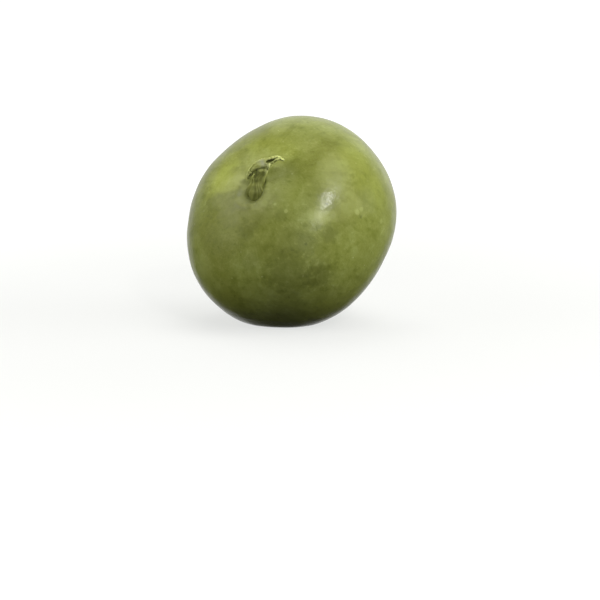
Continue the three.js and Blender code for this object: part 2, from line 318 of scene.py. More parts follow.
# Painted light on the stalk's neck, which the vine's head shades, in shares of the stalk's length.
PAINTED_LIGHT_NECK = {"at": 0.76, "width": 0.16}
# How far out from its middle the strip of rind is pale.
STRIP_PALE = 1.4
# Where pith shows on the vine, as a point of the stem's plane.
PITH = {"at": (15.2, 19.2, -2.4), "radius": 2.8}
# The dark foot, with painted shade where the stalk meets the skin, measured along the stalk.
FOOT = {"above_skin": 1, "width": 4.2}
# Painted shade where the foot is darker still: place, radius and strength. Its hollows get painted
# shade too, by their depth.
FOOT_SHADE = (((-1, -6.5, 53), 3.5, 0.6),)
HOLLOW_SHADE = 1.3
# Lumps and hollows of the foot: place, radius and height.
FOOT_LUMPS = (
    ((6.6, -1.2, 56), 2.2, 0.6),
    ((3.9, -3, 56.6), 1.9, -0.7),
    ((8, -3, 52.5), 1.8, 0.4),
    ((1.6, -6.2, 55.5), 2.2, 0.35),
    ((2, -8.4, 53), 1.8, -0.2),
    ((5.5, -6.6, 52.2), 1.8, -0.1),
    ((-2.8, -4.2, 55), 2, -0.4),
    ((5.3, -0.2, 59.2), 1.8, -0.6),
    ((1, 1.6, 58), 1.7, -0.7),
    ((14.4, 8.2, 68.7), 1.2, -0.5),
)
# Painted light on the stalk under the head, over the head's shadow: place, radius and strength.
PAINTED_LIGHT_UNDER_HEAD = (
    ((6, 4.7, 64.9), 2.4, 1),
    ((9.3, 4.2, 66.4), 1.8, 1),
)
# Edges stand out from the mesh as smoothed in some rounds, and count in full from a reach on. That is
# evened out in more rounds, and on the stalk only a share of it counts.
EDGE = {"reach": 0.3, "smooth_rounds": 6, "even_rounds": 2, "on_stalk": 0.2}
STEM_RAGGED = (0.2, 1.6, 4)
STEM_LUMPS = (0.25, 4, 9)

# The camera: what it looks at, and where the fruit's centre is in a picture 600 pixels square.
PICTURE = 600
CENTRE_PIXEL = (290.8, 223.3)
FOCAL_PIXELS = 1655
CAMERA_DISTANCE = 1100
LOOK_DOWN = math.radians(8)
SENSOR = 36

# The light. A softbox is a name, the way to it from the fruit, its width and height, how many degrees it
# is turned about that way, its watts, and whether the skin mirrors it.
LIGHT_DISTANCE = 1.3
LIGHTS = (
    ("over_right", (0.38, -0.30, 0.87), (0.9, 0.9), 0, 8.0, False),
    ("over_back", (0.0, 0.35, 0.93), (0.9, 0.9), 0, 8.4, False),
    ("right_side", (0.96, -0.15, 0.24), (0.8, 0.5), 0, 11.2, False),
    ("left_side", (-0.95, -0.18, 0.24), (0.8, 0.5), 0, 8.2, False),
    ("left_back", (-0.84, 0.50, 0.24), (0.8, 0.5), 0, 3.2, False),
    ("front", (-0.1, -0.97, 0.24), (0.8, 0.5), 0, 2.1, False),
    ("halo", (0.35, -0.70, 0.62), (0.6, 0.7), 0, 1.0, True),
    ("window", (0.306, -0.772, 0.556), (0.095, 0.11), 54, 3.4, True),
    ("low", (0.25, -0.882, 0.358), (0.13, 0.17), 54, 0.7, True),
)
# The floor, flat from the middle out, then a bend up to a wall.
STAGE = {"middle": 0.25, "floor": 2.4, "corner": 0.9, "wall": 3.2}
STAGE_GRID = {"corner": 25, "around": 96}
STAGE_SURFACE = {
    "Base Color": (0.22, 0.22, 0.21, 1),
    "Roughness": 0.9,
    "Specular IOR Level": 0,
    "Emission Color": (0.99, 1, 0.985, 1),
}
# The floor shines more the further it is from the fruit, where the softboxes light it less: a range of
# that distance, and the glow at both ends.
STAGE_GLOW = (0.1, 1.1, 0.68, 1.05)
# The way to the backdrop, a range of how closely one faces it, and the glow at both ends.
BACKDROP = {"towards": (0.05, 0.98, 0.15), "fade": (0.5, 0.93, 0.03, 0.95)}


def bell(distance, width):
    """A smooth bump of height 1 that fades over the width."""
    return np.exp(-((distance / width) ** 2))


def waves(points, form, seed, count=WAVE_COUNT):
    """Smooth noise about 0, mostly within its height: plane waves of random heading."""
    height, shortest, longest = form
    draw = np.random.RandomState(seed)
    heading = draw.normal(size=(count, 3))
    heading /= np.linalg.norm(heading, axis=1, keepdims=True)
    pitch = shortest * (longest / shortest) ** draw.uniform(size=(count, 1))
    phase = draw.uniform(0, 2 * math.pi, count)
    total = np.zeros(len(points))
    for turn, start in zip(heading * 2 * math.pi / pitch, phase):
        total += np.sin(points @ turn + start)
    return height * total / math.sqrt(count / 2) / WAVE_HEADROOM


def ring_waves(round_, azimuth, rows):
    """A sum of waves round the core, from rows of a height, a number, a start and a twist."""
    return sum(
        height * np.sin(number * azimuth + start + twist * round_)
        for height, number, start, twist in rows
    )


def bumps(points, rows):
    """A sum of smooth bumps, from rows of a place, a radius and a height."""
    return sum(
        height * bell(np.linalg.norm(points - place, axis=1), radius)
        for place, radius, height in rows
    )


# Turns the fruit's own frame to the row frame.
TO_ROW = np.array(Matrix.Rotation(HEADING, 3, "Z") @ Matrix.Rotation(LEAN, 3, "X"))


def to_row(points):
    """Points of the fruit's own frame, in mm, to the row frame, in metres."""
    return (points @ TO_ROW.T + [0, 0, CENTRE_HEIGHT]) * MM


def unevenness(points):
    """Broad dents and swells, from three waves that don't repeat over the fruit."""
    turn = 2 * math.pi / UNEVEN["pitch"]
    along, across, down = (np.sin(turn * (points @ heading) + start) for heading, start in UNEVEN_WAVES)
    extra = UNEVEN_SHARES["down"] * down * along + UNEVEN_SHARES["across"] * across
    return UNEVEN["height"] * (along * across + extra)


def end_relief(round_, wave, azimuth, at_stem):
    """How far the skin stands above the plain superellipse near an end, along the core."""
    cushion_wave = np.where(at_stem, np.cos(LOBES * (azimuth - CUSHION_AT)), wave)
    cushion = CUSHION["height"] * cushion_wave * bell(round_ - CUSHION["radius"], CUSHION["width"])
    fold = np.cos(PUCKER["folds"] * (azimuth - LOBE_AT))
    pucker = PUCKER["height"] * fold * bell(round_ - PUCKER["radius"], PUCKER["width"])
    crest = 1 + LIP["lean"] * np.cos(azimuth - LIP["at"]) + ring_waves(round_, azimuth, LIP_LUMPS)
    x, y = STEM_DIMPLE["middle"]
    from_stem = np.hypot(round_ * np.cos(azimuth) - x, round_ * np.sin(azimuth) - y)
    lip = LIP["height"] * crest * bell(from_stem - LIP["radius"], LIP["width"])
    creases = crease_relief(round_, azimuth)
    stem_end = pucker + lip + creases - STEM_DIMPLE["depth"] * bell(from_stem, STEM_DIMPLE["width"])
    scar = BLOSSOM_SCAR["height"] * bell(round_ - BLOSSOM_SCAR["radius"], BLOSSOM_SCAR["width"])
    blossom_end = scar - BLOSSOM_DIMPLE["depth"] * bell(round_, BLOSSOM_DIMPLE["width"])
    return cushion + np.where(at_stem, stem_end, blossom_end)


def crease_relief(round_, azimuth):
    """Shallow folds in the skin that run out from the stem, no two alike."""
    fold = np.sin(CREASE["folds"] * azimuth + ring_waves(round_, azimuth, CREASE_WANDER))
    strength = CREASE_STRENGTH + ring_waves(round_, azimuth, CREASE_FADING)
    return CREASE["height"] * strength * fold * bell(round_ - CREASE["radius"], CREASE["width"])


def skin_points(polar, azimuth):
    """Points of the skin in the fruit's own frame; polar is 0 at the stem end."""
    power = 2 / SQUARENESS
    round_ = RADIUS * np.abs(np.sin(polar)) ** power
    level = np.sign(np.cos(polar)) * np.abs(np.cos(polar)) ** power
    wave = np.cos(LOBES * (azimuth - LOBE_AT))
    oval = OVAL * np.cos(2 * (azimuth - OVAL_AT))
    radius = round_ * (1 + oval + LOBE_HEIGHT * (1 + LOBE_GROWTH * level**2) * wave)
    relief = end_relief(round_, wave, azimuth, level > 0)
    height = HALF_HEIGHT * level + np.sign(level) * relief
    points = np.stack([radius * np.cos(azimuth), radius * np.sin(azimuth), height], -1)
    outward = points / np.linalg.norm(points, axis=1, keepdims=True)
    away = 1 - bell(round_, STEM_DIMPLE["width"])
    ripple = waves(points, RIPPLE, seed=3)
    grain = waves(points, GRAIN, seed=4, count=GRAIN_COUNT)
    dent = away * (unevenness(points) + ripple) + grain
    return points + outward * dent[:, None]


def settle(points):
    """Flattens the side that the fruit lies on."""
    up = TO_ROW[2]
    height = CENTRE_HEIGHT + points @ up
    exponent = np.minimum(height / SETTLE, LARGEST_EXPONENT)
    soft = np.maximum(SETTLE * np.log1p(np.exp(exponent)) - SETTLE_DROP, 0)
    soft = np.where(height > SETTLE_REACH, height, soft)
    return points + (soft - height)[:, None] * up


def add_object(name, data):
    """A new object in the scene."""
    piece = bpy.data.objects.new(name, data)
    bpy.context.scene.collection.objects.link(piece)
    return piece


def make_object(name, points, faces):
    """A smooth-shaded mesh object in the row frame, from points in metres."""
    mesh = bpy.data.meshes.new(name)
    mesh.from_pydata(points.tolist(), [], faces)
    mesh.update()
    mesh.polygons.foreach_set("use_smooth", [True] * len(mesh.polygons))
    return add_object(name, mesh)


def ring_faces(rings, around):
    """Quads between rings of points laid out one after another."""
    start = np.arange(rings - 1)[:, None] * around
    here = np.arange(around)[None, :]
    after = (here + 1) % around
    quads = np.stack([start + here, start + after, start + around + after, start + around + here], -1)
    return quads.reshape(-1, 4).tolist()


def fan_faces(centre, first, around, flip):
    """Triangles from a centre point to a ring."""
    sides = [(first + i, first + (i + 1) % around) for i in range(around)]
    return [(centre, a, b) if flip else (centre, b, a) for a, b in sides]


def build_fruit():
    """The fruit's skin, closed, with its rings drawn together towards the ends."""
    around = FRUIT_GRID["around"]
    rings = FRUIT_GRID["rings"] - 1
    even = np.arange(1, rings + 1) * math.pi / FRUIT_GRID["rings"]
    polar = even - FRUIT_GRID["drawn"] * np.sin(2 * even)
    azimuth = np.arange(around) * 2 * math.pi / around
    polar_grid, azimuth_grid = np.meshgrid(polar, azimuth, indexing="ij")
    ends = skin_points(np.array([NEAR_ZERO, math.pi - NEAR_ZERO]), np.zeros(2))
    points = np.vstack([skin_points(polar_grid.ravel(), azimuth_grid.ravel()), ends])
    count = rings * around
    faces = [face[::-1] for face in ring_faces(rings, around)]
    faces += fan_faces(count, 0, around, flip=True)
    faces += fan_faces(count + 1, count - around, around, flip=False)
    return make_object("fruit_skin", to_row(settle(points)), faces)


class Curve:
    """A centripetal Catmull-Rom curve through points, measured along its length from 0 to 1."""

    SAMPLES = 600

    def __init__(self, points):
        self.points = np.array(points, float)
        raw = np.vstack([self.at_knot(t) for t in np.linspace(0, len(points) - 1, self.SAMPLES)])
        run = np.r_[0, np.cumsum(np.linalg.norm(np.diff(raw, axis=0), axis=1))]
        self.length = run[-1]
        self.run = run / run[-1]
        self.raw = raw

    def at_knot(self, t):
        """The point at knot value t: 0 at the first point, 1 at the second, and so on."""
        p = self.points
        i = min(int(t), len(p) - 2)
        before = p[i - 1] if i > 0 else 2 * p[0] - p[1]
        after = p[i + 2] if i + 2 < len(p) else 2 * p[-1] - p[-2]
        a, b, c, d = before, p[i], p[i + 1], after
        ab, bc, cd = (np.linalg.norm(v - u) ** 0.5 for u, v in ((a, b), (b, c), (c, d)))
        out = ((b - a) / ab - (c - a) / (ab + bc) + (c - b) / bc) * bc
        into = ((c - b) / bc - (d - b) / (bc + cd) + (d - c) / cd) * bc
        s = t - i
        return (
            (2 * s**3 - 3 * s**2 + 1) * b
            + (s**3 - 2 * s**2 + s) * out
            + (3 * s**2 - 2 * s**3) * c
            + (s**3 - s**2) * into
        )

    def at(self, along):
        """Points at shares of the length."""
        return np.stack([np.interp(along, self.run, self.raw[:, k]) for k in range(3)], -1)

    def frames(self, rings):
        """Normals and binormals at evenly spaced rings, carried along without twist."""
        along = np.linspace(0, 1, rings + 1)
        step = 1e-3
        tangents = self.at(np.minimum(along + step, 1)) - self.at(np.maximum(along - step, 0))
        tangents /= np.linalg.norm(tangents, axis=1, keepdims=True)
        seed = np.eye(3)[np.abs(tangents[0]).argmin()]
        side = np.cross(tangents[0], seed)
        normal = np.cross(tangents[0], side / np.linalg.norm(side))
        normals = []
        for tangent in tangents:
            normal = normal - tangent * (normal @ tangent)
            normal = normal / np.linalg.norm(normal)
            normals.append(normal)
        normals = np.array(normals)
        return normals, np.cross(tangents, normals)


def stem_direction(out, along, aside):
    """A direction of the stem's plane: out from the core, up along it, and aside from the plane."""
    x = out * math.cos(STEM_AT) - aside * math.sin(STEM_AT)
    y = out * math.sin(STEM_AT) + aside * math.cos(STEM_AT)
    return np.array([x, y, along])


def stem_point(out, along, aside):
    """A point of that plane, measured from the floor of the dimple."""
    return stem_direction(out, along, aside) + [0, 0, HALF_HEIGHT - STEM_DIMPLE["depth"]]


def stem_curve(*rows):
    """A curve through points of that plane: out, along and aside."""
    return Curve([stem_point(*row) for row in rows])


STALK_CURVE = stem_curve(
    (0, -STEM_SINK, FOOT_ASIDE),
    (0.4, 0, FOOT_ASIDE),
    (4.6, 4.2, -0.45),
    (9.4, 9.6, 0.6),
    (15.2, 16.6, -1.2),
)
VINE_CURVE = stem_curve(
    (0, 11.2, -0.1),
    (3.9, 15, -0.4),
    (8, 17.7, -0.7),
    (11.9, 18, -1),
    (15, 16.7, -1.3),
    (18.3, 15.9, -1.8),
    (21.3, 15.3, -2.3),
    (24.1, 15.1, -2.9),
    (26, 13.9, -3.6),
    (26.8, 11.1, -4.6),
)
STRIP_CURVE = stem_curve(
    (19.7, 16.1, -2.4),
    (18, 16.4, -4.2),
    (15.8, 14.6, -5),
    (13.4, 12, -4.3),
)


def tube(name, curve, grid, radius_at, shift_at=None):
    """A closed tube along a curve, as an object. radius_at(along, angle) is its radius there."""
    rings, around = grid
    normals, binormals = curve.frames(rings)
    along = np.linspace(0, 1, rings + 1)
    angle = np.arange(around) * 2 * math.pi / around
    middle = curve.at(along)
    if shift_at is not None:
        middle = middle + shift_at(along)
    along_grid, angle_grid = np.meshgrid(along, angle, indexing="ij")
    radius = radius_at(along_grid, angle_grid)[..., None]
    cosine, sine = np.cos(angle)[None, :, None], np.sin(angle)[None, :, None]
    spoke = cosine * normals[:, None] + sine * binormals[:, None]
    points = (middle[:, None] + radius * spoke).reshape(-1, 3)
    points = np.vstack([points, middle[0], middle[-1]])
    count = (rings + 1) * around
    faces = ring_faces(rings + 1, around)
    faces += fan_faces(count, 0, around, flip=False)
    faces += fan_faces(count + 1, count - around, around, flip=True)
    return make_object(name, to_row(points), faces)


def rounding(distance, reach):
    """Rounds off the end of a tube: smallest at the end, 1 from the reach on."""
    short = 1 - np.clip(distance / reach, 0, 1)
    return np.sqrt(np.maximum(1 - short**2, LEAST_END**2))


def stalk_radius(along, angle):
    """A rounded plug in the flesh, a ribbed flare at the skin, and a domed swelling under the vine."""
    from_plug = along * STALK_CURVE.length
    from_dome = (1 - along) * STALK_CURVE.length
    wave = np.cos(STALK_RIBS * angle)
    flare = FLARE["radius"] * bell(from_plug - STEM_SINK, FLARE["length"]) * (1 + FLARE["ribs"] * wave)
    swell = SWELL["radius"] * bell(1 - along, SWELL["length"])
    full = STALK_RADIUS * (1 + STALK_RIB_HEIGHT * wave) + flare + swell
    return full * rounding(from_plug, PLUG_ROUNDING) * rounding(from_dome, DOME)


def vine_middle_radius(along):
    """The vine's radius without its furrows, thickest at the node."""
    from_middle = np.abs(2 * along - 1)
    tapered = VINE_TIP_RADIUS + (VINE_RADIUS - VINE_TIP_RADIUS) * (1 - from_middle**3)
    return tapered + VINE_NODE["radius"] * bell(along - VINE_NODE["at"], VINE_NODE["width"])


def vine_radius(along, angle):
    """The vine's radius with its furrows."""
    return vine_middle_radius(along) * (1 + VINE_FURROW_DEPTH * np.cos(VINE_FURROWS * angle))


def strip_radius(along, angle):
    """A strip of rind that runs from the right slit down over the stalk's shoulder."""
    full = STRIP_RADIUS + (STRIP_TIP_RADIUS - STRIP_RADIUS) * along
    return full * rounding(along, STRIP_ROUNDING) * rounding(1 - along, STRIP_ROUNDING)


def vine_openings(name, slit):
    """What is missing on one side of the vine's node: the hollow, and a slit through the wall."""
    start, end = slit["from"], slit["to"]
    curve = Curve([VINE_CURVE.at(along) for along in np.linspace(start, end, SLIT_POINTS)])

    def there(share):
        return vine_middle_radius(start + (end - start) * share)

    def hollow(share, angle):
        full = np.maximum(there(share) - VINE_WALL, HOLLOW["least"])
        return full * rounding(share, HOLLOW["rounding"])

    def gape(share, angle):
        coarse = np.sin(SLIT_RAGGED["coarse"] * share + 1) * np.sin(2 * angle)
        fine = np.sin(SLIT_RAGGED["fine"] * share)
        ragged = 1 + SLIT_RAGGED["coarse_height"] * coarse + SLIT_RAGGED["fine_height"] * fine
        return np.interp(share, (0, 0.5, 1), slit["width"]) * ragged

    def to_slit(share):
        return stem_direction(*slit["side"]) * SLIT_SINK * there(share)[:, None]

    return [
        tube(name + "_hollow", curve, GRIDS["hollow"], hollow),
        tube(name + "_slit", curve, GRIDS["slit"], gape, to_slit),
    ]


def combine(piece, others, operation):
    """Joins or cuts a piece with others, which are used up."""
    for other in others:
        step = piece.modifiers.new(other.name, "BOOLEAN")
        step.object = other
        step.operation = operation
        step.solver = "EXACT"
        apply_modifiers(piece)
        bpy.data.objects.remove(other)


def apply_modifiers(piece):
    """Replaces the piece's mesh by what its modifiers make of it."""
    bpy.context.view_layer.update()
    seen = piece.evaluated_get(bpy.context.evaluated_depsgraph_get())
    mesh = bpy.data.meshes.new_from_object(seen)
    piece.modifiers.clear()
    old = piece.data
    piece.data = mesh
    mesh.name = piece.name
    bpy.data.meshes.remove(old)


def read_vectors(piece, name):
    """A vector of each of the mesh's points: its place in metres is co, its normal is normal."""
    flat = np.empty(len(piece.data.vertices) * 3)
    piece.data.vertices.foreach_get(name, flat)
    return flat.reshape(-1, 3)


def store(piece, measures):
    """Keeps measures by name, a number for each point, for the material to read."""
    for name, values in measures.items():
        attribute = piece.data.attributes.new(name, "FLOAT", "POINT")
        attribute.data.foreach_set("value", np.asarray(values, np.float32))


def nearest_on(curve, points):
    """For each point: the nearest share along the curve, the distance, and the angle round it."""
    samples = 160
    normals, binormals = curve.frames(samples)
    along = np.linspace(0, 1, samples + 1)
    middle = curve.at(along)
    gap = np.linalg.norm(points[:, None] - middle[None], axis=2)
    best = gap.argmin(axis=1)
    offset = points - middle[best]
    angle = np.arctan2((offset * binormals[best]).sum(1), (offset * normals[best]).sum(1))
    return along[best], gap[np.arange(len(points)), best], angle


def build_stem():
    """The stalk and the stub of vine in one piece, with fibres and ragged edges."""
    stem = tube("stem_stalk", STALK_CURVE, GRIDS["stalk"], stalk_radius)
    vine = tube("vine", VINE_CURVE, GRIDS["vine"], vine_radius)
    strip = tube("strip", STRIP_CURVE, GRIDS["strip"], strip_radius)
    combine(stem, [vine, strip], "UNION")
    combine(stem, vine_openings("left", LEFT_SLIT) + vine_openings("right", RIGHT_SLIT), "DIFFERENCE")
    even_out(stem)
    drop_loose_bits(stem)
    roughen_stem(stem)
    stem.name = "stem"
    return stem


def even_out(piece):
    """Makes one even mesh of the joined shapes, with small roundings where they meet."""
    remesh = piece.modifiers.new("even", "REMESH")
    remesh.mode = "VOXEL"
    remesh.voxel_size = STEM_VOXEL * MM
    remesh.use_smooth_shade = True
    soften = piece.modifiers.new("soften", "SMOOTH")
    soften.factor = SOFTEN["factor"]
    soften.iterations = SOFTEN["rounds"]
    apply_modifiers(piece)


def drop_loose_bits(piece):
    """Keeps only the largest connected part of a mesh."""
    mesh = bmesh.new()
    mesh.from_mesh(piece.data)
    left = set(mesh.verts)
    parts = []
    while left:
        part = set()
        ahead = [left.pop()]
        while ahead:
            point = ahead.pop()
            part.add(point)
            near = {edge.other_vert(point) for edge in point.link_edges} & left
            left -= near
            ahead += near
        parts.append(part)
    largest = max(parts, key=len)
    loose = [point for point in mesh.verts if point not in largest]
    bmesh.ops.delete(mesh, geom=loose, context="VERTS")
    mesh.to_mesh(piece.data)
    mesh.free()


def neighbour_mean(piece, values):
    """The mean of the values of each point's neighbours along edges."""
    edges = np.empty(len(piece.data.edges) * 2, int)
    piece.data.edges.foreach_get("vertices", edges)
    one, other = edges.reshape(-1, 2).T
    total = np.zeros(values.shape)
    count = np.zeros(len(values))
    for a, b in ((one, other), (other, one)):
        np.add.at(total, a, values[b])
        np.add.at(count, a, 1)
    return total / np.maximum(count, 1).reshape(-1, *[1] * (values.ndim - 1))


def edge_measure(piece):
    """How sharply each point stands out: 0.5 where flat, more on edges, less in hollows."""
    points = read_vectors(piece, "co") / MM
    smooth = points
    for _ in range(EDGE["smooth_rounds"]):
        smooth = neighbour_mean(piece, smooth)
    stands_out = ((points - smooth) * read_vectors(piece, "normal")).sum(1)
    for _ in range(EDGE["even_rounds"]):
        stands_out = neighbour_mean(piece, stands_out)
    return np.clip(0.5 + stands_out / EDGE["reach"], 0, 1)


def fibre_waves(points, angle):
    """Fibres that run along the stem and wander: 1 on a fibre, -1 between two."""
    wander = waves(points, FIBRE_WANDER, seed=11)
    coarse = np.sin(FIBRE["count"] * angle + wander)
    fine = np.sin(2 * FIBRE["count"] * angle + FIBRE["fine_wander"] * wander + 1)
    return (1 - FIBRE["fine"]) * coarse + FIBRE["fine"] * fine


def roughen_stem(piece):
    """Raises fibres and lumps, breaks up the torn edges, and marks what the material colours."""
    points = (read_vectors(piece, "co") / MM - [0, 0, CENTRE_HEIGHT]) @ TO_ROW
    normals = read_vectors(piece, "normal") @ TO_ROW
    edge = edge_measure(piece) - 0.5
    along_stalk, from_stalk, stalk_angle = nearest_on(STALK_CURVE, points)
    along_vine, from_vine, vine_angle = nearest_on(VINE_CURVE, points)
    nearer = from_stalk - from_vine - ON_VINE["nearer"]
    on_vine = 1 / (1 + np.exp(-nearer * ON_VINE["sharpness"]))
    on_stalk = 1 - on_vine
    fibre = fibre_waves(points, np.where(on_vine > 0.5, vine_angle, stalk_angle))
    depth = vine_middle_radius(along_vine) - from_vine
    inside = on_vine * np.clip((depth - INSIDE["depth"]) / INSIDE["soft"], 0, 1)

    relief = FIBRE["height"] * (FIBRE_STRENGTH + waves(points, FIBRE_FADING, seed=12)) * fibre
    relief += on_vine * waves(points, STEM_RAGGED, seed=13) + waves(points, STEM_LUMPS, seed=14)
    relief = relief * (1 - inside) + bumps(points, FOOT_LUMPS)
    points += normals * relief[:, None]
    piece.data.vertices.foreach_set("co", to_row(points).ravel())
    piece.data.update()

    from_strip = nearest_on(STRIP_CURVE, points)[1]
    above_skin = along_stalk * STALK_CURVE.length - STEM_SINK
    outward = np.abs(2 * along_vine - 1)
    shade = bumps(points, FOOT_SHADE) - HOLLOW_SHADE * bumps(points, FOOT_LUMPS)
    # Masks for the material: painted light on the neck, under the head and on edges; painted shade on
    # the foot, in hollows and inside the vine.
    store(piece, {
        "fibre": 0.5 + 0.5 * fibre,
        "inside": inside,
        "edge": 0.5 + edge * (EDGE["on_stalk"] * on_stalk + on_vine),
        "dry": on_vine * np.clip(DRY["gain"] * (outward - DRY["from"]), 0, 1),
        "painted_light_neck": on_stalk * bell(along_stalk - PAINTED_LIGHT_NECK["at"], PAINTED_LIGHT_NECK["width"]),
        "foot": on_stalk * bell(above_skin - FOOT["above_skin"], FOOT["width"]),
        "strip": bell(from_strip, STRIP_PALE),
        "pith": bumps(points, [(stem_point(*PITH["at"]), PITH["radius"], 1)]),
        "painted_light_under_head": bumps(points, PAINTED_LIGHT_UNDER_HEAD),
        "shade": np.clip(shade, 0, 1),
    })


class Nodes:
    """The nodes of a material or world, built by short calls that return output sockets."""

    def __init__(self, owner):
        owner.use_nodes = True
        self.tree = owner.node_tree
        self.tree.nodes.clear()

    def add(self, kind, inputs, **settings):
        """Adds a node with its settings and inputs, and gives it."""
        node = self.tree.nodes.new("ShaderNode" + kind)
        for name, value in settings.items():
            setattr(node, name, value)
        self.feed(node, inputs)
        return node

    def feed(self, node, inputs):
        """Sets inputs of a node, by name or number, to values or to other nodes' outputs."""
        for name, value in inputs.items():
            if isinstance(value, bpy.types.NodeSocket):
                self.tree.links.new(value, node.inputs[name])
            else:
                node.inputs[name].default_value = value

    def math(self, operation, a, b=0.0, clamp=False):
        """What an operation makes of two numbers."""
        return self.add("Math", {0: a, 1: b}, operation=operation, use_clamp=clamp).outputs[0]

    def times(self, a, b, clamp=False):
        """The product of two numbers."""
        return self.math("MULTIPLY", a, b, clamp)

    def vector(self, operation, a, b):
        """What an operation makes of two vectors: a vector, or a number where it measures."""
        node = self.add("VectorMath", {0: a, 1: b}, operation=operation)
        measures = operation in ("DISTANCE", "DOT_PRODUCT")
        return node.outputs["Value" if measures else "Vector"]

    def mix(self, share, a, b, blend="MIX"):
        """Colour a with a share of colour b."""
        inputs = {"Factor": share, "A": a, "B": b}
        return self.add("Mix", inputs, data_type="RGBA", blend_type=blend).outputs["Result"]

    def tint(self, colour, share, towards):
        """Takes a colour a share of the way to a screen colour."""
        return self.mix(share, colour, linear(*towards))

    def spread(self, value, low, high, to_low=0.0, to_high=1.0):
        """Maps low to high smoothly onto to_low to to_high, and holds it there."""
        inputs = {"Value": value, "From Min": low, "From Max": high, "To Min": to_low, "To Max": to_high}
        return self.add("MapRange", inputs, interpolation_type="SMOOTHSTEP").outputs["Result"]

    def reach(self, distance, start, end, at_start=0.0, at_end=1.0):
        """The same for a distance, with its start and end in mm."""
        return self.spread(distance, start * MM, end * MM, at_start, at_end)

    def shake(self, noise, size):
        """A noise about 0, over a size in mm."""
        return self.times(self.math("SUBTRACT", noise, 0.5), size * MM)

    def attribute(self, name):
        """A number that the mesh keeps for each point."""
        return self.add("Attribute", {}, attribute_name=name).outputs["Fac"]

    def own_place(self):
        """The place in the fruit's own frame, in metres."""
        place = self.add("TexCoord", {}).outputs["Object"]
        moved = self.vector("SUBTRACT", place, (0, 0, CENTRE_HEIGHT * MM))
        turn = Matrix(TO_ROW.T.tolist()).to_euler("XYZ")
        inputs = {"Vector": moved, "Rotation": turn}
        return self.add("VectorRotate", inputs, rotation_type="EULER_XYZ").outputs[0]

    def noise(self, place, size, detail=2.0, roughness=0.5, distortion=0.0):
        """Noise from 0 to 1 whose blotches are about size millimetres."""
        inputs = {"Vector": place, "Scale": 1 / (size * MM), "Detail": detail}
        inputs.update({"Roughness": roughness, "Distortion": distortion})
        return self.add("TexNoise", inputs).outputs["Fac"]

    def dots(self, place, spacing, radius, share):
        """Round dots of about a radius in mm, in a share of the cells of a spacing. 1 inside a dot."""
        inputs = {"Vector": place, "Scale": 1 / (spacing * MM)}
        cells = self.add("TexVoronoi", inputs, feature="F1")
        inner, outer = (edge * radius / spacing for edge in DOT_EDGE)
        dot = self.spread(cells.outputs["Distance"], inner, outer, 1, 0)
        parts = self.add("SeparateColor", {0: cells.outputs["Color"]})
        chosen = self.math("LESS_THAN", parts.outputs[0], share)
        strength = self.spread(parts.outputs[1], 0, 1, FAINTEST_DOT, 1)
        return self.times(self.times(dot, chosen), strength)


class Surface(Nodes):
    """The nodes of a new material, which end in its surface."""

    def __init__(self, name):
        self.material = bpy.data.materials.new(name)
        super().__init__(self.material)
        self.surface = self.add("BsdfPrincipled", {})
        self.add("OutputMaterial", {"Surface": self.surface.outputs["BSDF"]})

    def bump(self, layers, *sockets):
        """Adds up (height source, depth in mm) layers as bumps, and gives the normal to the sockets."""
        normal = {}
        for source, depth in layers:
            inputs = {"Height": source, "Distance": depth * MM, "Strength": 1, **normal}
            normal = {"Normal": self.add("Bump", inputs).outputs["Normal"]}
        self.set_surface({name: normal["Normal"] for name in sockets})

    def set_surface(self, inputs):
        """Sets inputs of the surface to values or to other nodes' outputs."""
        self.feed(self.surface, inputs)


def linear(red, green, blue):
    """A colour given in 0 to 255 steps of the screen, as the shader takes it: the inverse sRGB curve."""
    steps = []
    for value in (red / 255, green / 255, blue / 255):
        steps.append(value / 12.92 if value <= 0.04045 else ((value + 0.055) / 1.055) ** 2.4)
    return (*steps, 1)


def core_place(nodes, place):
    """A place's x, y and z, and how far it is from the core, in metres."""
    x, y, z = nodes.add("SeparateXYZ", {0: place}).outputs
    return x, y, z, nodes.math("SQRT", nodes.math("ADD", nodes.times(x, x), nodes.times(y, y)))


def distance_from_core(nodes, place):
    """How far a place is from the core, in metres, but large on the blossom half."""
    _, _, z, reach = core_place(nodes, place)
    return nodes.math("ADD", reach, nodes.math("LESS_THAN", z, 0))


def streaks(nodes, place, from_core):
    """Streaks from the stem to the blossom end, which set in beside the core: 0 to 1."""
    x, y, z, reach = core_place(nodes, place)
    reach = nodes.math("MAXIMUM", reach, NEAREST_CORE * MM)
    across = [nodes.times(nodes.math("DIVIDE", part, reach), STREAKS["fine"] * MM) for part in (x, y)]
    along = nodes.math("DIVIDE", z, STREAKS["stretch"])
    drawn_out = nodes.add("CombineXYZ", {0: across[0], 1: across[1], 2: along})
    noise = nodes.noise(drawn_out.outputs[0], STREAKS["size"], detail=STREAKS["detail"])
    away = nodes.reach(from_core, STREAKS["from"], STREAKS["to"])
    return nodes.times(nodes.spread(noise, *STREAK_EDGE), away)


def spot(nodes, place, centre, radius, ragged):
    """1 within about a radius in mm of a place on the fruit, with an edge made ragged by the noise."""
    gap = nodes.vector("DISTANCE", place, Vector(centre) * MM)
    gap = nodes.math("ADD", gap, nodes.shake(ragged, MARK_EDGE["ragged"] * radius))
    return nodes.reach(gap, MARK_EDGE["outer"] * radius, MARK_EDGE["inner"] * radius)


def add_marks(nodes, colour, place, ragged, marks, towards):
    """Tints the colour at marks: rows of a place, a radius and a strength."""
    for centre, radius, strength in marks:
        share = nodes.times(spot(nodes, place, centre, radius, ragged), strength)
        colour = nodes.tint(colour, share, towards)
    return colour


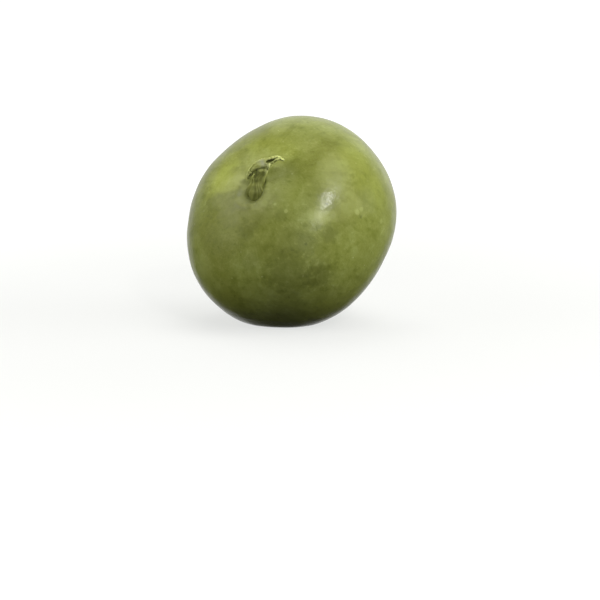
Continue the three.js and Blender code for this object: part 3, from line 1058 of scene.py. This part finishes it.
def add_mottling(nodes, colour, noises, layers, factor):
    """Multiplies the colour by a factor where the layers' noises set in."""
    for name, start, full, strength in layers:
        share = nodes.spread(noises[name], start, full, 0, strength)
        colour = nodes.mix(share, colour, factor, "MULTIPLY")
    return colour


def side_of_meridian(nodes, place, azimuth, soft):
    """1 on the side of a meridian that comes before its azimuth, 0 past it, with a soft edge in mm."""
    across = nodes.vector("DOT_PRODUCT", place, (math.sin(azimuth), -math.cos(azimuth), 0))
    return nodes.reach(across, *(share * soft for share in MERIDIAN_EDGE))


def pale_tone(nodes, place, ragged):
    """Where the skin is paler, partly its own tone and partly painted light: 0 to 1."""
    place = nodes.vector("ADD", place, nodes.shake(ragged, PALE_SHAKE))
    before = side_of_meridian(nodes, place, PALE_SECTOR["to"], PALE_SECTOR["soft"])
    after = side_of_meridian(nodes, place, PALE_SECTOR["from"] + math.pi, 2 * PALE_SECTOR["soft"])
    from_core = distance_from_core(nodes, place)
    near = nodes.reach(from_core, PALE_SECTOR["full"], PALE_SECTOR["gone"], 1, 0)
    sector = nodes.times(nodes.times(before, after), near)
    flank = spot(nodes, place, PALE_FLANK["at"], PALE_FLANK["radius"], ragged)
    rest = PALE_FLANK["rest"]
    return nodes.times(sector, nodes.math("ADD", rest, nodes.times(flank, 1 - rest)))


def skin_material():
    """Smooth green skin: mottled, faintly streaked, specked, with painted light, shade and sheen, and a
    waxy gloss.
    """
    nodes = Surface("gourd_skin")
    place = nodes.own_place()
    from_core = distance_from_core(nodes, place)
    noises = {name: nodes.noise(place, **form) for name, form in SKIN_NOISE.items()}
    cloud, small = noises["cloud"], noises["small"]
    pale_dots = nodes.dots(place, **PALE_DOTS)
    dark_dots = nodes.dots(place, **DARK_DOTS)

    olive, leaf = linear(*SKIN_COLOURS["olive"]), linear(*SKIN_COLOURS["leaf"])
    colour = nodes.mix(nodes.spread(noises["broad"], *BROAD_EDGE), olive, leaf)
    # The paler sector: partly the skin's own tone, partly painted light on the lobe that faces the
    # lamps.
    sector = nodes.times(pale_tone(nodes, place, cloud), PALE_STRENGTH)
    colour = nodes.tint(colour, sector, SKIN_COLOURS["pale_and_lit_sector"])
    colour = add_mottling(nodes, colour, noises, MOTTLE_DARK, DARKER)
    streaked = nodes.times(streaks(nodes, place, from_core), STREAK_STRENGTH)
    colour = nodes.mix(streaked, colour, DARKER, "MULTIPLY")
    colour = add_mottling(nodes, colour, noises, MOTTLE_PALE, PALER)
    # Dark marks, and painted shade beside the stem's foot.
    colour = add_marks(nodes, colour, place, small, DARK_MARKS_AND_SHADE, SKIN_COLOURS["dark_mark_and_shade"])
    colour = nodes.tint(colour, nodes.times(pale_dots, DOT_STRENGTH["pale"]), SKIN_COLOURS["pale_dot"])
    colour = nodes.tint(colour, nodes.times(dark_dots, DOT_STRENGTH["dark"]), SKIN_COLOURS["dark_dot"])
    # Pale marks, with painted light and a painted sheen among them.
    colour = add_marks(nodes, colour, place, small, PALE_MARKS_AND_LIGHT, SKIN_COLOURS["pale_mark_and_light"])
    colour = add_marks(nodes, colour, place, small, YELLOW_MARKS, SKIN_COLOURS["yellow_mark"])
    # Painted sheen round the stem and beside it, partly a waxy bloom.
    near_stem = nodes.reach(from_core, BLOOM_AND_SHEEN["full"], BLOOM_AND_SHEEN["gone"], BLOOM_AND_SHEEN["strength"], 0)
    bloom_and_sheen = nodes.times(near_stem, nodes.spread(small, *BLOOM_AND_SHEEN_THINNED))
    colour = nodes.tint(colour, bloom_and_sheen, SKIN_COLOURS["bloom_and_sheen"])
    colour = add_marks(nodes, colour, place, cloud, HAZE, SKIN_COLOURS["bloom_and_sheen"])

    roughness = nodes.spread(small, *SKIN_ROUGHNESS)
    nodes.set_surface({"Base Color": colour, "Roughness": roughness, **SKIN_GLOSS})
    sources = {**noises, "pale_dots": pale_dots}
    layers = [(sources[name], depth) for name, depth in SKIN_BUMPS.items()]
    nodes.bump(layers, "Normal", "Coat Normal")
    return nodes.material


def layer_share(nodes, sources, attribute, strength):
    """How much of one of the stem's layers shows: 0 to 1."""
    if isinstance(strength, tuple):
        source, *mapping = strength
        strength = nodes.spread(sources[source], *mapping)
    if attribute is None:
        return strength
    return nodes.times(nodes.attribute(attribute), strength, clamp=True)


def stem_material():
    """Fibrous stem: olive ribs, darker grooves, paler and yellower where torn or dry; painted light and
    shade.
    """
    nodes = Surface("gourd_stem")
    place = nodes.own_place()
    sources = {name: nodes.noise(place, **form) for name, form in STEM_NOISE.items()}
    sources.update({name: nodes.attribute(name) for name in ("fibre", "edge")})
    groove, rib = linear(*STEM_BASE["groove"]), linear(*STEM_BASE["rib"])
    colour = nodes.mix(nodes.spread(sources["fibre"], *STEM_BASE["edge"]), groove, rib)
    for towards, attribute, strength in STEM_LAYERS:
        colour = nodes.tint(colour, layer_share(nodes, sources, attribute, strength), towards)
    roughness = nodes.spread(sources["grain"], *STEM_ROUGHNESS)
    nodes.set_surface({"Base Color": colour, "Roughness": roughness, "IOR": STEM_IOR})
    nodes.bump([(sources["grain"], STEM_BUMP)], "Normal")
    return nodes.material


def build_stage():
    """A pale seamless floor that curves up into a wall all round."""
    rim = STAGE["floor"] + STAGE["corner"]
    profile = [(STAGE["middle"], 0.0)]
    for bend in np.linspace(0, math.pi / 2, STAGE_GRID["corner"]):
        out = STAGE["floor"] + STAGE["corner"] * math.sin(bend)
        profile.append((out, STAGE["corner"] * (1 - math.cos(bend))))
    profile.append((rim, STAGE["wall"]))
    around = STAGE_GRID["around"]
    turns = np.arange(around) * 2 * math.pi / around
    points = [(out * math.sin(turn), out * math.cos(turn), up) for out, up in profile for turn in turns]
    faces = ring_faces(len(profile), around) + [tuple(reversed(range(around)))]
    stage = make_object("stage", np.array(points), faces)
    stage.visible_diffuse = False
    stage.visible_glossy = False
    stage.visible_shadow = False
    stage.data.materials.append(stage_material())


def stage_material():
    """A matt pale floor with a glow of its own."""
    nodes = Surface("pale_floor")
    place = nodes.add("TexCoord", {}).outputs["Object"]
    glow = nodes.spread(nodes.vector("DISTANCE", place, (0, 0, 0)), *STAGE_GLOW)
    nodes.set_surface({**STAGE_SURFACE, "Emission Strength": glow})
    return nodes.material


def build_world():
    """Dim surroundings with a bright backdrop behind the fruit, which edges it with light."""
    world = bpy.data.worlds.new("studio")
    bpy.context.scene.world = world
    nodes = Nodes(world)
    place = nodes.add("TexCoord", {}).outputs["Generated"]
    facing = nodes.vector("DOT_PRODUCT", place, BACKDROP["towards"])
    glow = nodes.spread(facing, *BACKDROP["fade"])
    background = nodes.add("Background", {"Strength": glow})
    nodes.add("OutputWorld", {"Surface": background.outputs[0]})


def build_lights():
    """One softbox for each row of LIGHTS, facing the fruit."""
    middle = Vector((0, 0, CENTRE_HEIGHT * MM))
    for name, towards, size, turn, power, mirrored in LIGHTS:
        data = bpy.data.lights.new(name, "AREA")
        data.shape = "RECTANGLE"
        data.size, data.size_y = size
        data.energy = power
        at = middle + Vector(towards).normalized() * LIGHT_DISTANCE
        facing = (middle - at).to_track_quat("-Z", "Y")
        light = add_object(name, data)
        light.location = at
        light.rotation_euler = (facing @ Quaternion((0, 0, 1), math.radians(turn))).to_euler()
        light.visible_camera = False
        light.visible_glossy = mirrored


def build_camera():
    """The camera sees the fruit's centre at its pixel, with no shift and everything sharp."""
    sight = np.array([0, math.cos(LOOK_DOWN), -math.sin(LOOK_DOWN)])
    eye = (np.array([0, 0, CENTRE_HEIGHT]) - CAMERA_DISTANCE * sight) * MM
    pitch = LOOK_DOWN + math.atan((PICTURE / 2 - CENTRE_PIXEL[1]) / FOCAL_PIXELS)
    turn = math.atan((PICTURE / 2 - CENTRE_PIXEL[0]) / FOCAL_PIXELS)
    data = bpy.data.cameras.new("camera")
    data.sensor_width = SENSOR
    data.lens = FOCAL_PIXELS * SENSOR / PICTURE
    camera = add_object("camera", data)
    camera.location = eye
    camera.rotation_euler = (math.pi / 2 - pitch, 0, -turn)
    bpy.context.scene.camera = camera


def dress(piece, material, node):
    """Gives a piece its material and its place in the frame."""
    piece.data.materials.clear()
    piece.data.materials.append(material)
    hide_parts(node)
    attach(piece, "root")


bpy.context.scene.view_settings.view_transform = "Standard"
build_camera()
build_stage()
build_world()
build_lights()
dress(build_fruit(), skin_material(), "fruit")
dress(build_stem(), stem_material(), "stem")
